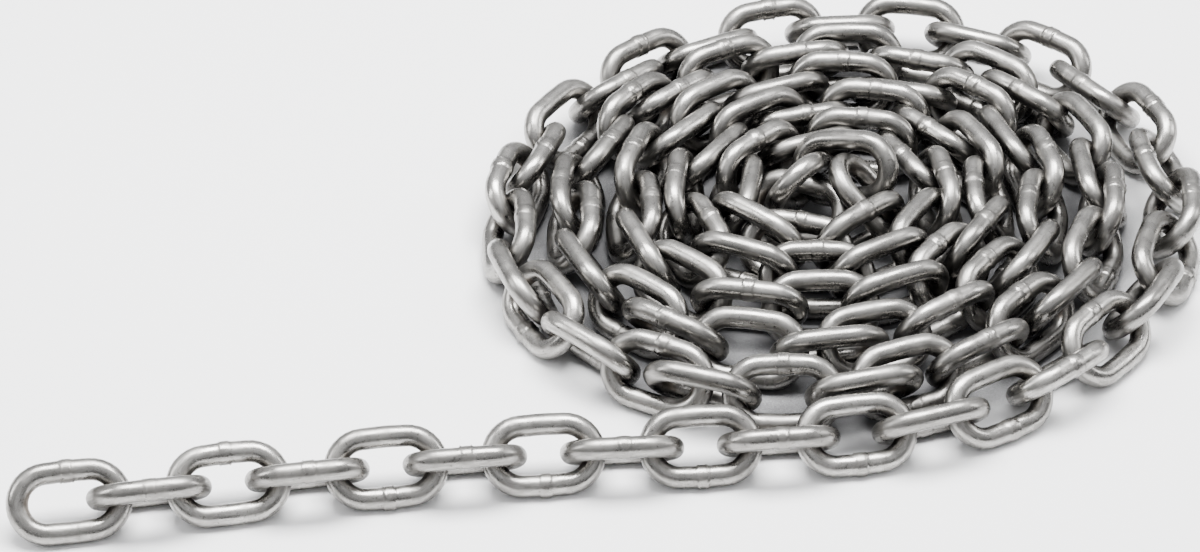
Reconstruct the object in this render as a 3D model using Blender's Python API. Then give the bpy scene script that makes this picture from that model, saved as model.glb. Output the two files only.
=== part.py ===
"""Short-link steel chain, laid on a level floor as a flat coil with a straight tail.

Metres, +Z up.  The floor is z = 0 and the links rest on it, leaning alternately to
either side.  The last four are heaped up in the heart of the coil.  Each link is a
closed loop of round bar, made here with a six-sided section whose corners are just
outside the bar's surface and whose flats are just inside it.  The links of the tail
and of the outer turn are solids of their own.  Further in, the links are joined in
short runs where their rounded ends bear on each other.
"""

import math

import bpy
import numpy as np
from mathutils import Euler, Vector

MM = 0.001

# What a link's pose holds: its middle in plan, its three turns and how far its
# lowest point is over the floor
X, Y, HEADING, LEAN, RISE, LIFT = range(6)

# One link
BAR_DIAMETER = 8 * MM
INSIDE_LENGTH = 29.8 * MM
INSIDE_WIDTH = 14 * MM
BAR_SIDES = 6
BAR_CORNER_RADIUS = 4.2 * MM
BAR_SECTION_TURN = math.radians(15)
BEND_STEPS = 7
LINE_STEPS = 16
SIDE_STEPS = 7
END_RADIUS = (INSIDE_WIDTH + BAR_DIAMETER) / 2
HALF_STRAIGHT = (INSIDE_LENGTH + BAR_DIAMETER) / 2 - END_RADIUS
STEEL_GREY = (0.42, 0.42, 0.41, 1.0)
STEEL_ROUGHNESS = 0.38

# How the links bear on each other.  Play is how far a link is pushed into its
# neighbour from where their ends would just touch: joined in one solid, pulled
# tight, or pushed in as far as it goes.  The distances are between the middle lines
# of two bars
JOINED_PLAY = -0.8 * MM
TIGHT_PLAY = 1.0 * MM
LOOSE_PLAY = 12.2 * MM
JOINED_DISTANCE = 7.0 * MM
CLEAR_DISTANCE = 8.85 * MM
PARTED_DISTANCE = 9.2 * MM
NEAR_LINKS = 47 * MM

# How the links settle: each is shifted and turned in small steps until it bears on
# its neighbours without pressing into them, and those of the heart sink as well
SETTLE_STEPS = (1.0 * MM, 0.5 * MM, 0.25 * MM, 0.12 * MM, 0.06 * MM)
SETTLE_SWEEPS = 20
TURN_FOR_SHIFT = math.radians(3) / MM
HOME_PULL = 0.001
SETTLED_PRESS = 0.0004
LEAST_GAIN = 1e-6

# The tail, as the places that it runs through from its free end to the coil
TAIL_ROUTE = (
    (-206 * MM, -136 * MM),
    (-160 * MM, -128 * MM),
    (-110 * MM, -119 * MM),
    (-55 * MM, -111 * MM),
    (0 * MM, -105 * MM),
    (40 * MM, -102 * MM),
)

# The coil, anticlockwise seen from above.  Each turn starts at the front.  Its
# radius and its centre are those at its start, and change smoothly to the next
TURN_RADII = (139 * MM, 114 * MM, 91 * MM, 69 * MM, 50 * MM, 37 * MM, 30 * MM)
TURN_CENTRES = (
    (87 * MM, 37 * MM),
    (87 * MM, 39 * MM),
    (87 * MM, 42 * MM),
    (88 * MM, 45 * MM),
    (88 * MM, 47 * MM),
    (85 * MM, 46 * MM),
    (83 * MM, 45 * MM),
)
OVAL_SHARE = 0.065
OVAL_HEADING = math.radians(37)
COIL_TURNS = 5.4
COIL_STEP = math.radians(12)
ROUTE_STEP = 1.0 * MM
SEARCH_HALVINGS = 20

# How far the links are raised from lying flat, at the start of each turn
TURN_LEANS = tuple(math.radians(lean) for lean in (45, 57, 57, 59, 64, 68, 70))

# Which links stand alone, how many share a solid between them, and the last one that
# follows the route
FIRST_SINGLES = 28
RUN_LENGTH = 3
LAST_IN_RUNS = 108

# The links heaped up in the heart, as they are laid before they settle: the middle
# in plan in millimetres, heading, lean and rise in degrees, and the lift in millimetres
HEART_LAYOUT = (
    (106, 42, 158, 5, 41, 0),
    (87, 53, 354, 49, 11, 11),
    (73, 47, 254, 60, 39, 0),
    (81, 42, 160, 113, 2, 0),
)


def clear_scene():
    """Remove whatever the scene holds at the start."""
    for thing in list(bpy.data.objects):
        bpy.data.objects.remove(thing, do_unlink=True)


def new_collection(name):
    """Make a collection in the scene."""
    collection = bpy.data.collections.new(name)
    bpy.context.scene.collection.children.link(collection)
    return collection


def make_steel():
    """Bare steel that has been tumbled to a satin grey."""
    steel = bpy.data.materials.new("tumbled_steel")
    steel.use_nodes = True
    shader = steel.node_tree.nodes["Principled BSDF"]
    shader.inputs["Base Color"].default_value = STEEL_GREY
    shader.inputs["Metallic"].default_value = 1.0
    shader.inputs["Roughness"].default_value = STEEL_ROUGHNESS
    steel.diffuse_color = STEEL_GREY
    return steel


def smooth_value(values, place):
    """Read a smooth curve through evenly spaced values at a fractional place."""
    last = len(values) - 1
    index = min(max(int(place), 0), last - 1)
    share = place - index
    before = values[max(index - 1, 0)]
    start = values[index]
    end = values[index + 1]
    after = values[min(index + 2, last)]
    slope_in = (end - before) / 2
    slope_out = (after - start) / 2
    return (
        start * (2 * share**3 - 3 * share**2 + 1)
        + slope_in * (share**3 - 2 * share**2 + share)
        + end * (3 * share**2 - 2 * share**3)
        + slope_out * (share**3 - share**2)
    )


def coil_point(turns):
    """Where the coil's middle line is after a number of turns from its start."""
    heading = math.tau * turns - math.pi / 2
    radius = smooth_value(TURN_RADII, turns)
    radius *= 1 + OVAL_SHARE * math.cos(2 * (heading - OVAL_HEADING))
    centre_x = smooth_value([centre[0] for centre in TURN_CENTRES], turns)
    centre_y = smooth_value([centre[1] for centre in TURN_CENTRES], turns)
    return Vector((centre_x + radius * math.cos(heading), centre_y + radius * math.sin(heading)))


def chain_route():
    """Closely spaced points along the middle line, with the turn that each is on."""
    places = [Vector(point) for point in TAIL_ROUTE]
    turns = [0.0] * len(places)
    steps = int(COIL_TURNS * math.tau / COIL_STEP)
    for step in range(1, steps + 1):
        turn = step * COIL_STEP / math.tau
        places.append(coil_point(turn))
        turns.append(turn)
    xs = [place.x for place in places]
    ys = [place.y for place in places]
    route = []
    for index in range(len(places) - 1):
        pieces = max(1, round((places[index + 1] - places[index]).length / ROUTE_STEP))
        for piece in range(pieces):
            place = index + piece / pieces
            point = Vector((smooth_value(xs, place), smooth_value(ys, place)))
            share = piece / pieces
            turn = turns[index] * (1 - share) + turns[index + 1] * share
            route.append((point, turn))
    return route


def point_at(route, place):
    """The route's point at a fractional index."""
    index = min(int(place), len(route) - 2)
    return route[index][0].lerp(route[index + 1][0], place - index)


def reach_along(route, place, start, length):
    """The fractional index, past place, of the route's point this far from start."""
    ahead = place
    while ahead < len(route) - 2 and (point_at(route, ahead) - start).length < length:
        ahead += 1
    low = ahead - 1
    high = ahead
    for _ in range(SEARCH_HALVINGS):
        middle = (low + high) / 2
        if (point_at(route, middle) - start).length < length:
            low = middle
        else:
            high = middle
    return high


def joined_to_last(number):
    """Whether this link is in one solid with the one before it."""
    place_in_run = (number - FIRST_SINGLES - 1) % RUN_LENGTH
    return FIRST_SINGLES < number <= LAST_IN_RUNS and place_in_run > 0


def play_after(number):
    """How far the next link is pushed into this one."""
    if joined_to_last(number + 1):
        return JOINED_PLAY
    return TIGHT_PLAY if number < FIRST_SINGLES else LOOSE_PLAY


def flat_line():
    """Points along the middle line of a link's bar, lying flat at the origin."""
    points = []
    for side in (1, -1):
        for step in range(LINE_STEPS + 1):
            angle = math.pi * step / LINE_STEPS - math.pi / 2
            along = side * (HALF_STRAIGHT + END_RADIUS * math.cos(angle))
            points.append((along, side * END_RADIUS * math.sin(angle), 0.0))
        for step in range(1, SIDE_STEPS):
            along = side * HALF_STRAIGHT * (1 - 2 * step / SIDE_STEPS)
            points.append((along, side * END_RADIUS, 0.0))
    return np.array(points)


def turn_of(pose):
    """A link's rotation: lean about its length, then rise, then heading."""
    return Euler((pose[LEAN], -pose[RISE], pose[HEADING]))


def bar_line(pose):
    """Points along the middle line of a link's bar where it lies on the floor."""
    line = FLAT_LINE @ np.array(turn_of(pose).to_matrix()).T
    height = BAR_DIAMETER / 2 - line[:, 2].min() + pose[LIFT]
    return line + np.array((pose[X], pose[Y], height))


def lay_links(route):
    """Lay the links one after another along the route, and the last few in its heart."""
    poses = []
    start = route[0][0]
    place = 0.0
    for number in range(1, LAST_IN_RUNS + 1):
        ahead = reach_along(route, place, start, INSIDE_LENGTH)
        direction = (point_at(route, ahead) - start).normalized()
        lean = smooth_value(TURN_LEANS, route[int(ahead)][1])
        middle = start + direction * (INSIDE_LENGTH / 2)
        heading = math.atan2(direction.y, direction.x)
        if number % 2 == 0:
            heading += math.pi
        poses.append([middle.x, middle.y, heading, lean, 0.0, 0.0])
        start = start + direction * (INSIDE_LENGTH - play_after(number))
        place = ahead - INSIDE_LENGTH / 2 / ROUTE_STEP
    for x, y, heading, lean, rise, lift in HEART_LAYOUT:
        turns = [math.radians(turn) for turn in (heading, lean, rise)]
        poses.append([x * MM, y * MM, *turns, lift * MM])
    return poses


def spare(line, others):
    """The shortest distance from one bar's middle line to each of the others."""
    points = others.reshape(-1, 3)
    squares = (points**2).sum(axis=1) - 2 * line @ points.T + (line**2).sum(axis=1)[:, None]
    nearest = squares.min(axis=0).reshape(len(others), -1).min(axis=1)
    return np.sqrt(np.maximum(nearest, 0.0))


def press(line, number, near, lines):
    """How badly a link presses on those near it, or parts from those joined to it."""
    total = 0.0
    gaps = spare(line, lines[near])
    for other, gap in zip(near, gaps):
        fault = max(CLEAR_DISTANCE - gap, 0.0)
        if abs(other - number) == 1:
            if joined_to_last(max(other, number) + 1):
                fault = gap - JOINED_DISTANCE
            else:
                fault = max(fault, gap - PARTED_DISTANCE)
        total += (fault / MM) ** 2
    return total


def pull(pose, home):
    """How far a link is from the place that it was laid in, and from the floor."""
    shift = [(pose[axis] - home[axis]) / MM for axis in (X, Y)] + [pose[LIFT] / MM]
    turn = [(pose[axis] - home[axis]) / TURN_FOR_SHIFT / MM for axis in (HEADING, LEAN, RISE)]
    return HOME_PULL * sum(value**2 for value in shift + turn)


def settle(poses):
    """Shift and turn the laid links until none presses into another."""
    homes = [list(pose) for pose in poses]
    lines = np.array([bar_line(pose) for pose in poses])
    for step in SETTLE_STEPS:
        for _ in range(SETTLE_SWEEPS):
            moved = False
            for number, pose in enumerate(poses):
                middles = np.array(poses)[:, :2]
                away = np.hypot(*(middles - middles[number]).T)
                near = [other for other in np.nonzero(away < NEAR_LINKS)[0] if other != number]
                pressing = press(lines[number], number, near, lines)
                if pressing < SETTLED_PRESS and pose[LIFT] == 0:
                    continue
                best = pressing + pull(pose, homes[number])
                axes = (X, Y, HEADING, LEAN)
                if number >= LAST_IN_RUNS:
                    axes = (X, Y, HEADING, LEAN, RISE, LIFT)
                for axis in axes:
                    size = step if axis in (X, Y, LIFT) else step * TURN_FOR_SHIFT
                    for change in (size, -size):
                        trial = list(pose)
                        trial[axis] += change
                        if trial[LIFT] < 0:
                            continue
                        line = bar_line(trial)
                        value = press(line, number, near, lines) + pull(trial, homes[number])
                        if value < best - LEAST_GAIN:
                            best = value
                            pose[:] = trial
                            lines[number] = line
                            moved = True
                            break
            if not moved:
                break


def make_link_mesh(steel):
    """A closed loop of bar: two straight sides and two round ends."""
    centre_line = []
    for side in (1, -1):
        for step in range(BEND_STEPS + 1):
            angle = math.pi * step / BEND_STEPS - math.pi / 2
            along = side * (HALF_STRAIGHT + END_RADIUS * math.cos(angle))
            across = side * END_RADIUS * math.sin(angle)
            centre_line.append((along, across))
    curve = bpy.data.curves.new("link_line", "CURVE")
    curve.dimensions = "3D"
    curve.twist_mode = "Z_UP"
    curve.bevel_depth = BAR_CORNER_RADIUS
    curve.bevel_resolution = (BAR_SIDES - 4) // 2
    spline = curve.splines.new("POLY")
    spline.use_cyclic_u = True
    spline.points.add(len(centre_line) - 1)
    for point, (along, across) in zip(spline.points, centre_line):
        point.co = (along, across, 0.0, 1.0)
        point.tilt = BAR_SECTION_TURN
    line = bpy.data.objects.new("link_line", curve)
    bpy.context.scene.collection.objects.link(line)
    evaluated = line.evaluated_get(bpy.context.evaluated_depsgraph_get())
    mesh = bpy.data.meshes.new_from_object(evaluated)
    mesh.name = "chain_link"
    mesh.materials.clear()
    mesh.materials.append(steel)
    bpy.data.objects.remove(line, do_unlink=True)
    return mesh


def place_link(name, mesh, pose, collection):
    """One link, leaning, with its lowest corner on the floor."""
    turned = turn_of(pose).to_matrix()
    drop = min((turned @ corner.co).z for corner in mesh.vertices)
    link = bpy.data.objects.new(name, mesh)
    link.location = (pose[X], pose[Y], pose[LIFT] - drop)
    link.rotation_euler = turn_of(pose)
    collection.objects.link(link)
    return link


def centre_on_floor(links):
    """Move the laid links so that the middle of their box is over the origin."""
    bpy.context.view_layer.update()
    corners = [link.matrix_world @ corner.co for link in links for corner in link.data.vertices]
    xs = [corner.x for corner in corners]
    ys = [corner.y for corner in corners]
    middle = Vector(((min(xs) + max(xs)) / 2, (min(ys) + max(ys)) / 2, 0.0))
    for link in links:
        link.location -= middle


FLAT_LINE = flat_line()


def main():
    """Lay the whole chain."""
    clear_scene()
    chain = new_collection("steel_chain")
    joined = new_collection("links_joined_to_runs")
    steel = make_steel()
    mesh = make_link_mesh(steel)
    poses = lay_links(chain_route())
    settle(poses)
    run = None
    run_number = 0
    for number, pose in enumerate(poses, start=1):
        if joined_to_last(number):
            other = place_link(f"joined_link_{number:02d}", mesh, pose, joined)
            other.hide_render = True
            other.display_type = "WIRE"
            union = run.modifiers.new("join_next_link", "BOOLEAN")
            union.operation = "UNION"
            union.solver = "EXACT"
            union.object = other
        elif joined_to_last(number + 1):
            run_number += 1
            run = place_link(f"run_{run_number:02d}", mesh, pose, chain)
        else:
            name = "end_link" if number == 1 else f"link_{number:02d}"
            place_link(name, mesh, pose, chain)
    centre_on_floor(list(chain.objects) + list(joined.objects))


main()
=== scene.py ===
"""Looks of the coil of steel chain: every link as round welded bar in satin steel."""

import math
import random

import bpy
import numpy as np
from mathutils import Euler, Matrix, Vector


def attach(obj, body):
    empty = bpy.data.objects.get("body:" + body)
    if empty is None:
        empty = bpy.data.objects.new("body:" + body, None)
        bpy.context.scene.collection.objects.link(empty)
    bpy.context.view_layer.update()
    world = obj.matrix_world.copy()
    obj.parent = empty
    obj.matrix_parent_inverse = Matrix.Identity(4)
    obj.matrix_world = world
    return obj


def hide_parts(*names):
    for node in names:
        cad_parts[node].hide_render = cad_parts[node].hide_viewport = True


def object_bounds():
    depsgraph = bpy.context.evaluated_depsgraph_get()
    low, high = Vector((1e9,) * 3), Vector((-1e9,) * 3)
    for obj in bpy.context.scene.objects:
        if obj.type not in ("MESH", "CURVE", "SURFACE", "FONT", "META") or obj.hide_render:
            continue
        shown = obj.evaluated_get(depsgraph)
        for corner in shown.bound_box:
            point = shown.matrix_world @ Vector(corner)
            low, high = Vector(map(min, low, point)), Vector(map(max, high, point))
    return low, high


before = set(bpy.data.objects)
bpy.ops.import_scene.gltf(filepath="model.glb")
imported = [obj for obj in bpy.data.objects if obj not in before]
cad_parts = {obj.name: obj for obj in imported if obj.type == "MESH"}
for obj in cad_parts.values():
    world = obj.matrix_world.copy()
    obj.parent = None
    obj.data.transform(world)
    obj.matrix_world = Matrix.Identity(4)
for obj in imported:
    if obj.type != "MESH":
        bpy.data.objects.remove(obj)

cad_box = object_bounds()

MM = 0.001

# What a link's pose holds: its middle in plan, its three turns and how far its
# lowest point is over the floor
X, Y, HEADING, LEAN, RISE, LIFT = range(6)

# One link
BAR_DIAMETER = 8 * MM
INSIDE_LENGTH = 29.8 * MM
INSIDE_WIDTH = 14 * MM
LINE_STEPS = 16
SIDE_STEPS = 7
END_RADIUS = (INSIDE_WIDTH + BAR_DIAMETER) / 2
HALF_STRAIGHT = (INSIDE_LENGTH + BAR_DIAMETER) / 2 - END_RADIUS

# How the links bear on each other.  Play is how far a link is pushed into its
# neighbour from where their ends would just touch: joined in one solid, pulled
# tight, or pushed in as far as it goes.  The distances are between the middle lines
# of two bars
JOINED_PLAY = -0.8 * MM
TIGHT_PLAY = 1.0 * MM
LOOSE_PLAY = 12.2 * MM
JOINED_DISTANCE = 7.0 * MM
CLEAR_DISTANCE = 8.85 * MM
PARTED_DISTANCE = 9.2 * MM
NEAR_LINKS = 47 * MM

# How the links settle: each is shifted and turned in small steps until it bears on
# its neighbours without pressing into them, and those of the heart sink as well
SETTLE_STEPS = (1.0 * MM, 0.5 * MM, 0.25 * MM, 0.12 * MM, 0.06 * MM)
SETTLE_SWEEPS = 20
TURN_FOR_SHIFT = math.radians(3) / MM
HOME_PULL = 0.001
SETTLED_PRESS = 0.0004
LEAST_GAIN = 1e-6

# The tail, as the places that it runs through from its free end to the coil
TAIL_ROUTE = (
    (-206 * MM, -136 * MM),
    (-160 * MM, -128 * MM),
    (-110 * MM, -119 * MM),
    (-55 * MM, -111 * MM),
    (0 * MM, -105 * MM),
    (40 * MM, -102 * MM),
)

# The coil, anticlockwise seen from above.  Each turn starts at the front.  Its
# radius and its centre are those at its start, and change smoothly to the next
TURN_RADII = (139 * MM, 114 * MM, 91 * MM, 69 * MM, 50 * MM, 37 * MM, 30 * MM)
TURN_CENTRES = (
    (87 * MM, 37 * MM),
    (87 * MM, 39 * MM),
    (87 * MM, 42 * MM),
    (88 * MM, 45 * MM),
    (88 * MM, 47 * MM),
    (85 * MM, 46 * MM),
    (83 * MM, 45 * MM),
)
OVAL_SHARE = 0.065
OVAL_HEADING = math.radians(37)
COIL_TURNS = 5.4
COIL_STEP = math.radians(12)
ROUTE_STEP = 1.0 * MM
SEARCH_HALVINGS = 20

# How far the links are raised from lying flat, at the start of each turn
TURN_LEANS = tuple(math.radians(lean) for lean in (45, 57, 57, 59, 64, 68, 70))

# Which links stand alone, how many share a solid between them, and the last one that
# follows the route
FIRST_SINGLES = 28
RUN_LENGTH = 3
LAST_IN_RUNS = 108

# The links heaped up in the heart, as they are laid before they settle: the middle
# in plan in millimetres, heading, lean and rise in degrees, and the lift in millimetres
HEART_LAYOUT = (
    (106, 42, 158, 5, 41, 0),
    (87, 53, 354, 49, 11, 11),
    (73, 47, 254, 60, 39, 0),
    (81, 42, 160, 113, 2, 0),
)
LINK_COUNT = LAST_IN_RUNS + len(HEART_LAYOUT)


def smooth_value(values, place):
    """Read a smooth curve through evenly spaced values at a fractional place."""
    last = len(values) - 1
    index = min(max(int(place), 0), last - 1)
    share = place - index
    before = values[max(index - 1, 0)]
    start = values[index]
    end = values[index + 1]
    after = values[min(index + 2, last)]
    slope_in = (end - before) / 2
    slope_out = (after - start) / 2
    return (
        start * (2 * share**3 - 3 * share**2 + 1)
        + slope_in * (share**3 - 2 * share**2 + share)
        + end * (3 * share**2 - 2 * share**3)
        + slope_out * (share**3 - share**2)
    )


def coil_point(turns):
    """Where the coil's middle line is after a number of turns from its start."""
    heading = math.tau * turns - math.pi / 2
    radius = smooth_value(TURN_RADII, turns)
    radius *= 1 + OVAL_SHARE * math.cos(2 * (heading - OVAL_HEADING))
    centre_x = smooth_value([centre[0] for centre in TURN_CENTRES], turns)
    centre_y = smooth_value([centre[1] for centre in TURN_CENTRES], turns)
    return Vector((centre_x + radius * math.cos(heading), centre_y + radius * math.sin(heading)))


def chain_route():
    """Closely spaced points along the middle line, with the turn that each is on."""
    places = [Vector(point) for point in TAIL_ROUTE]
    turns = [0.0] * len(places)
    steps = int(COIL_TURNS * math.tau / COIL_STEP)
    for step in range(1, steps + 1):
        turn = step * COIL_STEP / math.tau
        places.append(coil_point(turn))
        turns.append(turn)
    xs = [place.x for place in places]
    ys = [place.y for place in places]
    route = []
    for index in range(len(places) - 1):
        pieces = max(1, round((places[index + 1] - places[index]).length / ROUTE_STEP))
        for piece in range(pieces):
            place = index + piece / pieces
            point = Vector((smooth_value(xs, place), smooth_value(ys, place)))
            share = piece / pieces
            turn = turns[index] * (1 - share) + turns[index + 1] * share
            route.append((point, turn))
    return route


def point_at(route, place):
    """The route's point at a fractional index."""
    index = min(int(place), len(route) - 2)
    return route[index][0].lerp(route[index + 1][0], place - index)


def reach_along(route, place, start, length):
    """The fractional index, past place, of the route's point this far from start."""
    ahead = place
    while ahead < len(route) - 2 and (point_at(route, ahead) - start).length < length:
        ahead += 1
    low = ahead - 1
    high = ahead
    for _ in range(SEARCH_HALVINGS):
        middle = (low + high) / 2
        if (point_at(route, middle) - start).length < length:
            low = middle
        else:
            high = middle
    return high


def joined_to_last(number):
    """Whether this link is in one solid with the one before it."""
    place_in_run = (number - FIRST_SINGLES - 1) % RUN_LENGTH
    return FIRST_SINGLES < number <= LAST_IN_RUNS and place_in_run > 0


def play_after(number):
    """How far the next link is pushed into this one."""
    if joined_to_last(number + 1):
        return JOINED_PLAY
    return TIGHT_PLAY if number < FIRST_SINGLES else LOOSE_PLAY


def flat_line():
    """Points along the middle line of a link's bar, lying flat at the origin."""
    points = []
    for side in (1, -1):
        for step in range(LINE_STEPS + 1):
            angle = math.pi * step / LINE_STEPS - math.pi / 2
            along = side * (HALF_STRAIGHT + END_RADIUS * math.cos(angle))
            points.append((along, side * END_RADIUS * math.sin(angle), 0.0))
        for step in range(1, SIDE_STEPS):
            along = side * HALF_STRAIGHT * (1 - 2 * step / SIDE_STEPS)
            points.append((along, side * END_RADIUS, 0.0))
    return np.array(points)


def turn_of(pose):
    """A link's rotation: lean about its length, then rise, then heading."""
    return Euler((pose[LEAN], -pose[RISE], pose[HEADING]))


def bar_line(pose):
    """Points along the middle line of a link's bar where it lies on the floor."""
    line = FLAT_LINE @ np.array(turn_of(pose).to_matrix()).T
    height = BAR_DIAMETER / 2 - line[:, 2].min() + pose[LIFT]
    return line + np.array((pose[X], pose[Y], height))


def lay_links(route):
    """Lay the links one after another along the route, and the last few in its heart."""
    poses = []
    start = route[0][0]
    place = 0.0
    for number in range(1, LAST_IN_RUNS + 1):
        ahead = reach_along(route, place, start, INSIDE_LENGTH)
        direction = (point_at(route, ahead) - start).normalized()
        lean = smooth_value(TURN_LEANS, route[int(ahead)][1])
        middle = start + direction * (INSIDE_LENGTH / 2)
        heading = math.atan2(direction.y, direction.x)
        if number % 2 == 0:
            heading += math.pi
        poses.append([middle.x, middle.y, heading, lean, 0.0, 0.0])
        start = start + direction * (INSIDE_LENGTH - play_after(number))
        place = ahead - INSIDE_LENGTH / 2 / ROUTE_STEP
    for x, y, heading, lean, rise, lift in HEART_LAYOUT:
        turns = [math.radians(turn) for turn in (heading, lean, rise)]
        poses.append([x * MM, y * MM, *turns, lift * MM])
    return poses


def spare(line, others):
    """The shortest distance from one bar's middle line to each of the others."""
    points = others.reshape(-1, 3)
    squares = (points**2).sum(axis=1) - 2 * line @ points.T + (line**2).sum(axis=1)[:, None]
    nearest = squares.min(axis=0).reshape(len(others), -1).min(axis=1)
    return np.sqrt(np.maximum(nearest, 0.0))


def press(line, number, near, lines):
    """How badly a link presses on those near it, or parts from those joined to it."""
    total = 0.0
    gaps = spare(line, lines[near])
    for other, gap in zip(near, gaps):
        fault = max(CLEAR_DISTANCE - gap, 0.0)
        if abs(other - number) == 1:
            if joined_to_last(max(other, number) + 1):
                fault = gap - JOINED_DISTANCE
            else:
                fault = max(fault, gap - PARTED_DISTANCE)
        total += (fault / MM) ** 2
    return total


def pull(pose, home):
    """How far a link is from the place that it was laid in, and from the floor."""
    shift = [(pose[axis] - home[axis]) / MM for axis in (X, Y)] + [pose[LIFT] / MM]
    turn = [(pose[axis] - home[axis]) / TURN_FOR_SHIFT / MM for axis in (HEADING, LEAN, RISE)]
    return HOME_PULL * sum(value**2 for value in shift + turn)


def settle(poses):
    """Shift and turn the laid links until none presses into another."""
    homes = [list(pose) for pose in poses]
    lines = np.array([bar_line(pose) for pose in poses])
    for step in SETTLE_STEPS:
        for _ in range(SETTLE_SWEEPS):
            moved = False
            for number, pose in enumerate(poses):
                middles = np.array(poses)[:, :2]
                away = np.hypot(*(middles - middles[number]).T)
                near = [other for other in np.nonzero(away < NEAR_LINKS)[0] if other != number]
                pressing = press(lines[number], number, near, lines)
                if pressing < SETTLED_PRESS and pose[LIFT] == 0:
                    continue
                best = pressing + pull(pose, homes[number])
                axes = (X, Y, HEADING, LEAN)
                if number >= LAST_IN_RUNS:
                    axes = (X, Y, HEADING, LEAN, RISE, LIFT)
                for axis in axes:
                    size = step if axis in (X, Y, LIFT) else step * TURN_FOR_SHIFT
                    for change in (size, -size):
                        trial = list(pose)
                        trial[axis] += change
                        if trial[LIFT] < 0:
                            continue
                        line = bar_line(trial)
                        value = press(line, number, near, lines) + pull(trial, homes[number])
                        if value < best - LEAST_GAIN:
                            best = value
                            pose[:] = trial
                            lines[number] = line
                            moved = True
                            break
            if not moved:
                break


FLAT_LINE = flat_line()

# The finer link: rings along the bar and points round it.  The rings of the welded
# side are drawn towards its middle
BAR_RADIUS = 4.08 * MM
ROUND_POINTS = 32
BEND_RINGS = 17
PLAIN_SIDE_RINGS = 7
WELD_SIDE_RINGS = 35
WELD_SIDE_POWER = 1.6
SIDE_BOW = 0.22 * MM
END_FLATTENING = 0.10 * MM

# The weld in the middle of one side: a smooth swelling, two fine wandering edges
# where the bar was upset, and fins that were left on them.  The swelling, and each
# fin's width in radians and its share of the rise, are picked between two values.
# The edges wander in waves, given as their number round the bar and their size
WELD_HALF_LENGTH = 1.9 * MM
WELD_SWELL = (0.22 * MM, 0.50 * MM)
WELD_EDGE_WIDTH = 0.26 * MM
WELD_EDGE_RISE = 0.14 * MM
WELD_EDGE_WAVES = ((2, 0.35 * MM), (5, 0.2 * MM))
WELD_FINS = 6
WELD_FIN_RISE = 0.45 * MM
WELD_FIN_WIDTH = (0.12, 0.3)
WELD_FIN_SHARE = (0.2, 1.0)
WELD_ZONE = 3.2 * MM

# Painted shade: the crowding darkens the steel's colour in the crevices, in place of occlusion.
# How fast the crowding fades with the distance of another link's bar, and how near
# that link has to be to count
CROWDING_REACH = 6.0 * MM
CROWDING_LIMIT = 24 * MM


def side_points(rings, drawn_in):
    """Shares from -1 to 1 along a straight side, closer together at its middle if drawn in."""
    shares = np.linspace(-1.0, 1.0, rings + 2)[1:-1]
    if drawn_in:
        shares = np.sign(shares) * np.abs(shares) ** WELD_SIDE_POWER
    return shares


def loop_line(weld_side):
    """The bar's middle line as points, outward directions and distances from the weld."""
    points = []
    outward = []
    from_weld = []
    for side in (1, -1):
        for angle in np.linspace(-math.pi / 2, math.pi / 2, BEND_RINGS):
            out = (side * math.cos(angle), side * math.sin(angle))
            reach = END_RADIUS - END_FLATTENING * math.cos(angle) ** 4
            points.append((side * HALF_STRAIGHT + reach * out[0], reach * out[1]))
            outward.append(out)
            from_weld.append(math.inf)
        welded = side == weld_side
        for share in side_points(WELD_SIDE_RINGS if welded else PLAIN_SIDE_RINGS, welded):
            bow = SIDE_BOW * (1 - share**2) ** 2
            points.append((-side * share * HALF_STRAIGHT, side * (END_RADIUS + bow)))
            outward.append((0.0, float(side)))
            from_weld.append(share * HALF_STRAIGHT if welded else math.inf)
    return np.array(points), np.array(outward), np.array(from_weld)


def weld_rise(distance, angles, chance):
    """How far the weld stands proud of the bar at this distance along and round it."""
    swell = chance.uniform(*WELD_SWELL)
    rise = swell * np.exp(-((distance[:, None] / WELD_HALF_LENGTH) ** 4)) * np.ones(len(angles))
    edge = np.zeros((len(distance), len(angles)))
    for side in (-1, 1):
        place = side * WELD_HALF_LENGTH * np.ones(len(angles))
        for waves, size in WELD_EDGE_WAVES:
            place += size * np.sin(angles * waves + chance.uniform(0, math.tau))
        edge += np.exp(-(((distance[:, None] - place[None, :]) / WELD_EDGE_WIDTH) ** 2))
    fins = np.zeros(len(angles))
    for _ in range(WELD_FINS):
        middle = chance.uniform(0, math.tau)
        width = chance.uniform(*WELD_FIN_WIDTH)
        away = np.abs((angles - middle + math.pi) % math.tau - math.pi)
        fins += chance.uniform(*WELD_FIN_SHARE) * np.exp(-((away / width) ** 2))
    return rise + edge * (WELD_EDGE_RISE + WELD_FIN_RISE * fins[None, :])


def ring_faces(rings):
    """The corners of the faces of a closed loop of rings."""
    corners = []
    for ring in range(rings):
        start = ring * ROUND_POINTS
        following = (ring + 1) % rings * ROUND_POINTS
        for point in range(ROUND_POINTS):
            beside = (point + 1) % ROUND_POINTS
            corners.append((start + point, start + beside, following + beside, following + point))
    return np.array(corners)


def swept(line, outward, radius, angles):
    """Points round a line at a radius, in the plane across it."""
    across = radius * np.cos(angles)
    points = np.empty((len(line), ROUND_POINTS, 3))
    points[:, :, :2] = line[:, None, :] + outward[:, None, :] * across[..., None]
    points[:, :, 2] = radius * np.sin(angles)
    return points.reshape(-1, 3)


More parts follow.
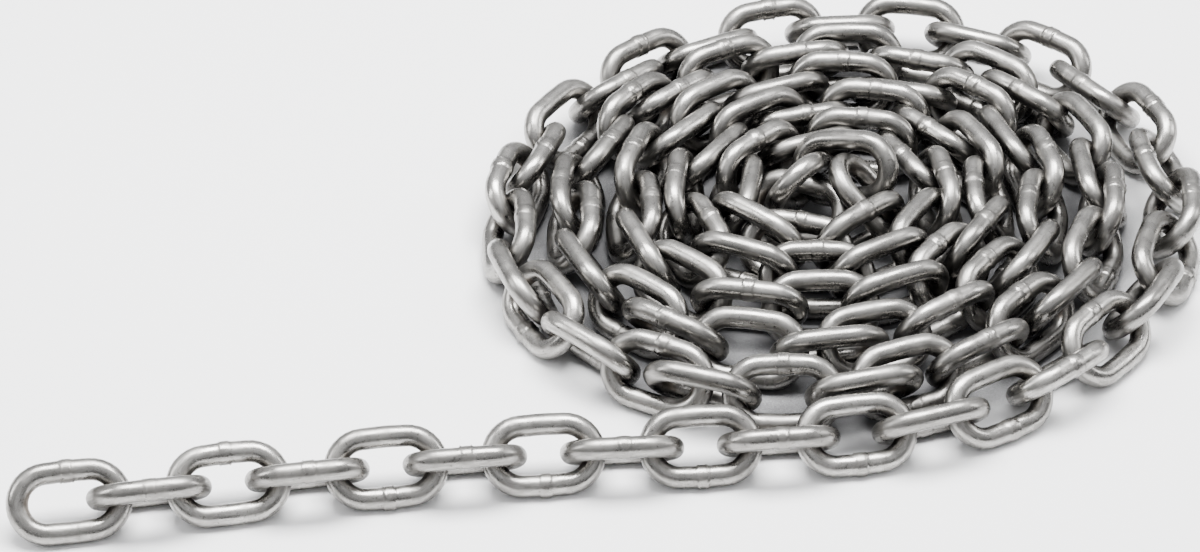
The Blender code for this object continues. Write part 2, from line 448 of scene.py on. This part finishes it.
def link_surface(number):
    """One link, flat at the origin: its points, normals and faces, and what its look needs."""
    chance = random.Random(number)
    line, outward, distance = loop_line(chance.choice((1, -1)))
    rings = len(line)
    angles = np.arange(ROUND_POINTS) * math.tau / ROUND_POINTS
    radius = BAR_RADIUS + weld_rise(distance, angles, chance)
    points = swept(line, outward, radius, angles)
    normals = swept(np.zeros_like(line), outward, np.ones_like(radius), angles)
    bend = np.clip((np.abs(line[:, 0]) - HALF_STRAIGHT) / END_RADIUS, 0.0, 1.0)
    inner = np.clip(-np.cos(angles), 0.0, 1.0)
    steps = np.linalg.norm(np.roll(line, -1, axis=0) - line, axis=1)
    along = np.concatenate(([0.0], np.cumsum(steps)[:-1])) / MM
    weld = np.exp(-((distance / WELD_ZONE) ** 4))
    values = {
        "crook": (bend[:, None] * inner[None, :]).ravel(),
        "weld": np.repeat(weld, ROUND_POINTS),
        "along": np.repeat(along, ROUND_POINTS),
        "around_cos": np.tile(np.cos(angles), rings),
        "around_sin": np.tile(np.sin(angles), rings),
        "tone": np.full(rings * ROUND_POINTS, chance.random()),
    }
    return points, normals, ring_faces(rings), values


# A rough occlusion measure, used to paint shade into the steel's colour.
def crowding(points, normals, others):
    """How closely the bars of other links face each point, from 0 where none is near."""
    total = np.zeros(len(points))
    for line in others:
        away = line[None, :, :] - points[:, None, :]
        distance = np.linalg.norm(away, axis=2)
        facing = np.clip((away * normals[:, None, :]).sum(axis=2) / distance, 0.0, 1.0)
        total += (facing * np.exp(-distance / CROWDING_REACH)).sum(axis=1)
    return total


def place_points(points, pose, offset):
    """A link's points where it lies, kept inside the box of the solids."""
    turn = np.array(turn_of(pose).to_matrix()).T
    height = BAR_RADIUS - (FLAT_LINE @ turn)[:, 2].min() + pose[LIFT]
    placed = points @ turn + np.array((pose[X], pose[Y], height)) + offset
    return np.clip(placed, np.array(cad_box[0]), np.array(cad_box[1]))


def make_piece(name, numbers, poses, offset, material):
    """One mesh for the links of one node."""
    lines = [bar_line(pose) + offset for pose in poses]
    all_points = []
    all_faces = []
    all_values = []
    count = 0
    for number in numbers:
        points, normals, faces, values = link_surface(number)
        pose = poses[number - 1]
        placed = place_points(points, pose, offset)
        turned = normals @ np.array(turn_of(pose).to_matrix()).T
        near = [
            line
            for other, line in enumerate(lines, start=1)
            if other != number and spare(lines[number - 1], line[None])[0] < CROWDING_LIMIT
        ]
        values["crowding"] = crowding(placed, turned, near)
        all_points.append(placed)
        all_faces.append(faces + count)
        all_values.append(values)
        count += len(points)
    mesh = bpy.data.meshes.new(name)
    mesh.from_pydata(np.concatenate(all_points).tolist(), [], np.concatenate(all_faces).tolist())
    for key in all_values[0]:
        layer = mesh.attributes.new(key, "FLOAT", "POINT")
        column = np.concatenate([values[key] for values in all_values])
        layer.data.foreach_set("value", column.astype(np.float32))
    mesh.shade_smooth()
    mesh.materials.append(material)
    piece = bpy.data.objects.new(name, mesh)
    bpy.context.scene.collection.objects.link(piece)
    return piece


# Where the mix node has its two colours and its result
MIX_FIRST, MIX_SECOND, MIX_RESULT = 6, 7, 2


class Shading:
    """Makes nodes in a tree and links them."""

    def __init__(self, tree):
        self.tree = tree

    def feed(self, socket, given):
        """Link a socket to an input, or set the input to a value."""
        if isinstance(given, bpy.types.NodeSocket):
            self.tree.links.new(given, socket)
        else:
            socket.default_value = given

    def add(self, kind, **settings):
        """A node with its settings."""
        node = self.tree.nodes.new(kind)
        for key, value in settings.items():
            setattr(node, key, value)
        return node

    def maths(self, operation, first, second):
        """Work out one value from two."""
        node = self.add("ShaderNodeMath", operation=operation)
        self.feed(node.inputs[0], first)
        self.feed(node.inputs[1], second)
        return node.outputs[0]

    def weigh(self, *parts):
        """The sum of values, each times its weight."""
        total = None
        for value, weight in parts:
            part = self.maths("MULTIPLY", value, weight)
            total = part if total is None else self.maths("ADD", total, part)
        return total

    def attribute(self, name):
        """A value that the mesh carries at its points."""
        return self.add("ShaderNodeAttribute", attribute_name=name).outputs["Fac"]

    def place(self):
        """The point's place in the object, in metres."""
        return self.add("ShaderNodeTexCoord").outputs["Object"]

    def join(self, first, second, third):
        """Three values as a vector."""
        node = self.add("ShaderNodeCombineXYZ")
        for socket, given in zip(node.inputs, (first, second, third)):
            self.feed(socket, given)
        return node.outputs[0]

    def noise(self, place, kind):
        """Cloudy noise of a kind: features to the place's unit, detail and roughness."""
        node = self.add("ShaderNodeTexNoise")
        self.feed(node.inputs["Vector"], place)
        for name, given in zip(("Scale", "Detail", "Roughness"), kind):
            self.feed(node.inputs[name], given)
        return node.outputs["Fac"]

    def spread(self, value, span, result=(0.0, 1.0)):
        """Stretch a value from one span to another, eased and held at its ends."""
        node = self.add("ShaderNodeMapRange", interpolation_type="SMOOTHSTEP")
        for socket, given in zip(node.inputs, (value, *span, *result)):
            self.feed(socket, given)
        return node.outputs[0]

    def blend(self, share, first, second):
        """Mix two colours by a share."""
        node = self.add("ShaderNodeMix", data_type="RGBA")
        self.feed(node.inputs["Factor"], share)
        self.feed(node.inputs[MIX_FIRST], first)
        self.feed(node.inputs[MIX_SECOND], second)
        return node.outputs[MIX_RESULT]


def new_group(name, inputs, outputs):
    """A node group with named values going in and coming out."""
    group = bpy.data.node_groups.new(name, "ShaderNodeTree")
    for key in inputs:
        group.interface.new_socket(name=key, in_out="INPUT", socket_type="NodeSocketFloat")
    for key in outputs:
        group.interface.new_socket(name=key, in_out="OUTPUT", socket_type="NodeSocketFloat")
    nodes = Shading(group)
    return nodes, nodes.add("NodeGroupInput").outputs, nodes.add("NodeGroupOutput").inputs


# Each noise is given as its features to the unit, its detail and its roughness.
# Streaks: the unit is the bar's radius across the bar.  They are drawn out along it,
# and shifted so that no two links have the same
COARSE_STREAKS = (2.4, 3.0, 0.6)
FINE_STREAKS = (9.0, 3.0, 0.65)
STREAK_STRETCH = 0.05
STREAK_SHIFT = 40.0
COARSE_SHARE = 0.65
FINE_SHARE = 0.35
STREAK_SPAN = (0.36, 0.64)

# Marks: the unit is the metre.  The spans are those of the noise over which pits and
# dull patches set in
DENTS = (240.0, 2.0, 0.55)
GRAIN = (1900.0, 3.0, 0.7)
PITS = (760.0, 2.0, 0.55)
PIT_SPAN = (0.66, 0.76)
PATCHES = (110.0, 4.0, 0.6)
PATCH_SPAN = (0.36, 0.66)

# How high each mark stands, in shares of the bump's height
DENT_HEIGHT = 0.9
STREAK_HEIGHT = 0.25
GRAIN_HEIGHT = 0.16
PIT_HEIGHT = -0.22


def make_marks_group():
    """What drawing and tumbling leave: streaks along the bar, soft dents, grain and pits."""
    nodes, given, result = new_group(
        "drawn_and_tumbled",
        ("Along", "Around Cos", "Around Sin", "Tone"),
        ("Height", "Streak", "Patch", "Pit"),
    )
    place = nodes.place()
    drawn = nodes.weigh((given["Along"], STREAK_STRETCH), (given["Tone"], STREAK_SHIFT))
    on_bar = nodes.join(drawn, given["Around Cos"], given["Around Sin"])
    coarse = nodes.noise(on_bar, COARSE_STREAKS)
    fine = nodes.noise(on_bar, FINE_STREAKS)
    streak = nodes.weigh((coarse, COARSE_SHARE), (fine, FINE_SHARE))
    dents = nodes.noise(place, DENTS)
    grain = nodes.noise(place, GRAIN)
    pit = nodes.spread(nodes.noise(place, PITS), PIT_SPAN)
    patch = nodes.spread(nodes.noise(place, PATCHES), PATCH_SPAN)
    height = nodes.weigh(
        (dents, DENT_HEIGHT), (fine, STREAK_HEIGHT), (grain, GRAIN_HEIGHT), (pit, PIT_HEIGHT)
    )
    nodes.feed(result["Height"], height)
    nodes.feed(result["Streak"], nodes.spread(streak, STREAK_SPAN))
    nodes.feed(result["Patch"], patch)
    nodes.feed(result["Pit"], pit)
    return nodes.tree


# Stain and grime: how far the clouds spread the stain out of the crooks, and the
# spans of the sums over which each sets in
STAIN_CLOUDS = (260.0, 5.0, 0.65)
GRIME_SPECKS = (1100.0, 3.0, 0.6)
CLOUD_REACH = 0.9
STAIN_SPAN = (0.80, 1.35)
GRIME_SPAN = (1.16, 1.30)


def make_stain_group():
    """Brown stain in the crooks of the links, and dark specks of grime."""
    nodes, given, result = new_group("stain_and_grime", ("Crook",), ("Stain", "Grime"))
    place = nodes.place()
    clouds = nodes.noise(place, STAIN_CLOUDS)
    specks = nodes.noise(place, GRIME_SPECKS)
    reach = nodes.weigh((given["Crook"], 1.0), (clouds, CLOUD_REACH))
    nodes.feed(result["Stain"], nodes.spread(reach, STAIN_SPAN))
    nodes.feed(result["Grime"], nodes.spread(nodes.maths("ADD", clouds, specks), GRIME_SPAN))
    return nodes.tree


STEEL_LIGHT = (0.43, 0.418, 0.398, 1.0)
STEEL_DARK = (0.30, 0.291, 0.276, 1.0)
STREAK_DARK = (0.14, 0.135, 0.127, 1.0)
WELD_GREY = (0.24, 0.231, 0.218, 1.0)
STAIN_BROWN = (0.11, 0.08, 0.055, 1.0)
GRIME_DARK = (0.07, 0.066, 0.062, 1.0)
CREVICE_PAINTED_SHADE = (0.045, 0.042, 0.039, 1.0)

# How far each tints the steel at most, and the span of the crowding over which shade
# is painted into the crevices
STREAK_TINT = 0.66
WELD_TINT = 0.45
STAIN_TINT = 0.7
GRIME_TINT = 0.7
PIT_TINT = 0.6
CREVICE_SHADE_TINT = 0.86
CREVICE_SHADE_SPAN = (0.3, 4.2)

PATCH_ROUGHNESS = (0.22, 0.35)
STREAK_ROUGHNESS = 0.08
STAIN_ROUGHNESS = 0.15
BUMP_HEIGHT = 0.045 * MM


def make_steel():
    """Bare satin steel, streaked along the bar, stained in the crooks, with shade painted dark into
    the crevices.
    """
    steel = bpy.data.materials.new("satin_steel")
    steel.use_nodes = True
    nodes = Shading(steel.node_tree)
    shader = steel.node_tree.nodes["Principled BSDF"]
    tone = nodes.attribute("tone")
    group = nodes.add("ShaderNodeGroup", node_tree=make_marks_group())
    nodes.feed(group.inputs["Tone"], tone)
    for key, name in (("Along", "along"), ("Around Cos", "around_cos"), ("Around Sin", "around_sin")):
        nodes.feed(group.inputs[key], nodes.attribute(name))
    marks = group.outputs
    group = nodes.add("ShaderNodeGroup", node_tree=make_stain_group())
    nodes.feed(group.inputs["Crook"], nodes.attribute("crook"))
    stains = group.outputs
    # Painted shade: the steel is darkened where other links' bars crowd close round it.
    painted_crevice_shade = nodes.spread(nodes.attribute("crowding"), CREVICE_SHADE_SPAN)

    colour = nodes.blend(tone, STEEL_LIGHT, STEEL_DARK)
    for mask, share, tint in (
        (marks["Streak"], STREAK_TINT, STREAK_DARK),
        (nodes.attribute("weld"), WELD_TINT, WELD_GREY),
        (stains["Stain"], STAIN_TINT, STAIN_BROWN),
        (stains["Grime"], GRIME_TINT, GRIME_DARK),
        (marks["Pit"], PIT_TINT, GRIME_DARK),
        (painted_crevice_shade, CREVICE_SHADE_TINT, CREVICE_PAINTED_SHADE),
    ):
        colour = nodes.blend(nodes.maths("MULTIPLY", mask, share), colour, tint)
    nodes.feed(shader.inputs["Base Color"], colour)

    patchy = nodes.spread(marks["Patch"], (0.0, 1.0), PATCH_ROUGHNESS)
    roughness = nodes.weigh(
        (patchy, 1.0), (marks["Streak"], STREAK_ROUGHNESS), (stains["Stain"], STAIN_ROUGHNESS)
    )
    nodes.feed(shader.inputs["Roughness"], roughness)

    bump = nodes.add("ShaderNodeBump")
    nodes.feed(bump.inputs["Height"], marks["Height"])
    nodes.feed(bump.inputs["Distance"], BUMP_HEIGHT)
    nodes.feed(bump.inputs["Strength"], 1.0)
    nodes.feed(shader.inputs["Normal"], bump.outputs["Normal"])
    nodes.feed(shader.inputs["Metallic"], 1.0)
    return steel


def node_members():
    """Which links each CAD node holds."""
    members = {}
    run = 0
    for number in range(1, LINK_COUNT + 1):
        if joined_to_last(number):
            members[f"run_{run:02d}"].append(number)
        elif joined_to_last(number + 1):
            run += 1
            members[f"run_{run:02d}"] = [number]
        else:
            members["end_link" if number == 1 else f"link_{number:02d}"] = [number]
    return members


def frame_offset(poses):
    """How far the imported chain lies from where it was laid."""
    corners = np.array([corner.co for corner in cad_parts["end_link"].data.vertices])
    middle = corners.mean(axis=0)
    return np.array((middle[0] - poses[0][X], middle[1] - poses[0][Y], 0.0))


CAMERA_DISTANCE = 1.8
CAMERA_ELEVATION = math.radians(37.6)
CAMERA_TARGET_HEIGHT = 11.8 * MM
CAMERA_FOCAL_PIXELS = 4700
CAMERA_FARTHEST = 20.0
PHOTO_WIDTH = 1200
SENSOR_WIDTH = 36.0


def make_camera(offset):
    """The photograph's view: from the front, looking down on the chain."""
    target = Vector((offset[0], offset[1], CAMERA_TARGET_HEIGHT))
    back = Vector((0.0, -math.cos(CAMERA_ELEVATION), math.sin(CAMERA_ELEVATION)))
    data = bpy.data.cameras.new("camera")
    data.sensor_width = SENSOR_WIDTH
    data.sensor_fit = "HORIZONTAL"
    data.lens = CAMERA_FOCAL_PIXELS * SENSOR_WIDTH / PHOTO_WIDTH
    data.clip_end = CAMERA_FARTHEST
    camera = bpy.data.objects.new("camera", data)
    camera.location = target + back * CAMERA_DISTANCE
    camera.rotation_euler = (math.pi / 2 - CAMERA_ELEVATION, 0.0, 0.0)
    bpy.context.scene.collection.objects.link(camera)
    bpy.context.scene.camera = camera


# The floor's colour in the open and where links close round it.  The span is of the
# share of the sky that a place sees, and the deeper shade ends between the two radii
# round the middle of the third turn
FLOOR_SIZE = 12.0
FLOOR_ROUGHNESS = 0.8
FLOOR_PALE = (0.95, 0.95, 0.955, 1.0)
FLOOR_SHADED = (0.08, 0.08, 0.083, 1.0)
FLOOR_SHADE_REACH = 34 * MM
FLOOR_SHADE_SAMPLES = 8
FLOOR_OPEN_SPAN = (0.38, 0.86)
SHADED_ROUND = TURN_CENTRES[2]
SHADED_RADIUS = (112 * MM, 146 * MM)


def make_floor(offset):
    """A plain pale floor, in deeper shade where the turns of the coil close round it."""
    bpy.ops.mesh.primitive_plane_add(size=FLOOR_SIZE, location=(0.0, 0.0, 0.0))
    floor = bpy.context.object
    floor.name = "floor"
    paint = bpy.data.materials.new("pale_floor")
    paint.use_nodes = True
    nodes = Shading(paint.node_tree)
    shader = paint.node_tree.nodes["Principled BSDF"]
    shade = nodes.add("ShaderNodeAmbientOcclusion", samples=FLOOR_SHADE_SAMPLES)
    nodes.feed(shade.inputs["Distance"], FLOOR_SHADE_REACH)
    seen = nodes.spread(shade.outputs["AO"], FLOOR_OPEN_SPAN)
    middle = (SHADED_ROUND[0] + offset[0], SHADED_ROUND[1] + offset[1], 0.0)
    from_coil = nodes.add("ShaderNodeVectorMath", operation="DISTANCE")
    nodes.feed(from_coil.inputs[0], nodes.place())
    nodes.feed(from_coil.inputs[1], middle)
    outside = nodes.spread(from_coil.outputs["Value"], SHADED_RADIUS)
    open_floor = nodes.maths("MAXIMUM", seen, outside)
    nodes.feed(shader.inputs["Base Color"], nodes.blend(open_floor, FLOOR_SHADED, FLOOR_PALE))
    nodes.feed(shader.inputs["Roughness"], FLOOR_ROUGHNESS)
    floor.data.materials.append(paint)


# The sky: its strength from the horizon up, what is added behind the chain, and the
# spans of the upward and the backward direction over which each rises
SKY_TINT = (0.97, 0.98, 1.0, 1.0)
UP_SPAN = (0.05, 0.90)
UP_STRENGTH = (0.10, 1.15)
BEHIND_SPAN = (-0.10, 0.90)
BEHIND_STRENGTH = (0.0, 0.50)

# Name, width and depth and place in metres, and power in watts
SOFTBOXES = (
    ("top_softbox", (1.0, 0.55), (0.0, 0.15, 1.15), 54.0),
    ("left_softbox", (0.3, 0.8), (-1.2, -0.1, 0.8), 8.0),
    ("right_softbox", (0.3, 0.8), (1.3, 0.2, 0.8), 7.0),
)


def make_sky():
    """A studio that is bright overhead, grey behind the chain and dark in front of it."""
    world = bpy.data.worlds.new("studio")
    world.use_nodes = True
    nodes = Shading(world.node_tree)
    direction = nodes.add("ShaderNodeSeparateXYZ")
    nodes.feed(direction.inputs[0], nodes.add("ShaderNodeTexCoord").outputs["Generated"])
    up = nodes.spread(direction.outputs["Z"], UP_SPAN, UP_STRENGTH)
    behind = nodes.spread(direction.outputs["Y"], BEHIND_SPAN, BEHIND_STRENGTH)
    background = world.node_tree.nodes["Background"]
    nodes.feed(background.inputs["Color"], SKY_TINT)
    nodes.feed(background.inputs["Strength"], nodes.maths("ADD", up, behind))
    bpy.context.scene.world = world


def make_softboxes():
    """Rectangular soft lights aimed at the chain."""
    for name, size, place, power in SOFTBOXES:
        data = bpy.data.lights.new(name, "AREA")
        data.shape = "RECTANGLE"
        data.size, data.size_y = size
        data.energy = power
        light = bpy.data.objects.new(name, data)
        light.location = place
        light.rotation_euler = (-Vector(place)).to_track_quat("-Z", "Y").to_euler()
        bpy.context.scene.collection.objects.link(light)


def main():
    """Build every link as round bar, then the floor, the light and the camera."""
    poses = lay_links(chain_route())
    settle(poses)
    offset = frame_offset(poses)
    steel = make_steel()
    for node, numbers in node_members().items():
        piece = make_piece(f"round_bar_{node}", numbers, poses, offset, steel)
        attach(piece, "root")
        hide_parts(node)
    make_floor(offset)
    make_sky()
    make_softboxes()
    make_camera(offset)


main()
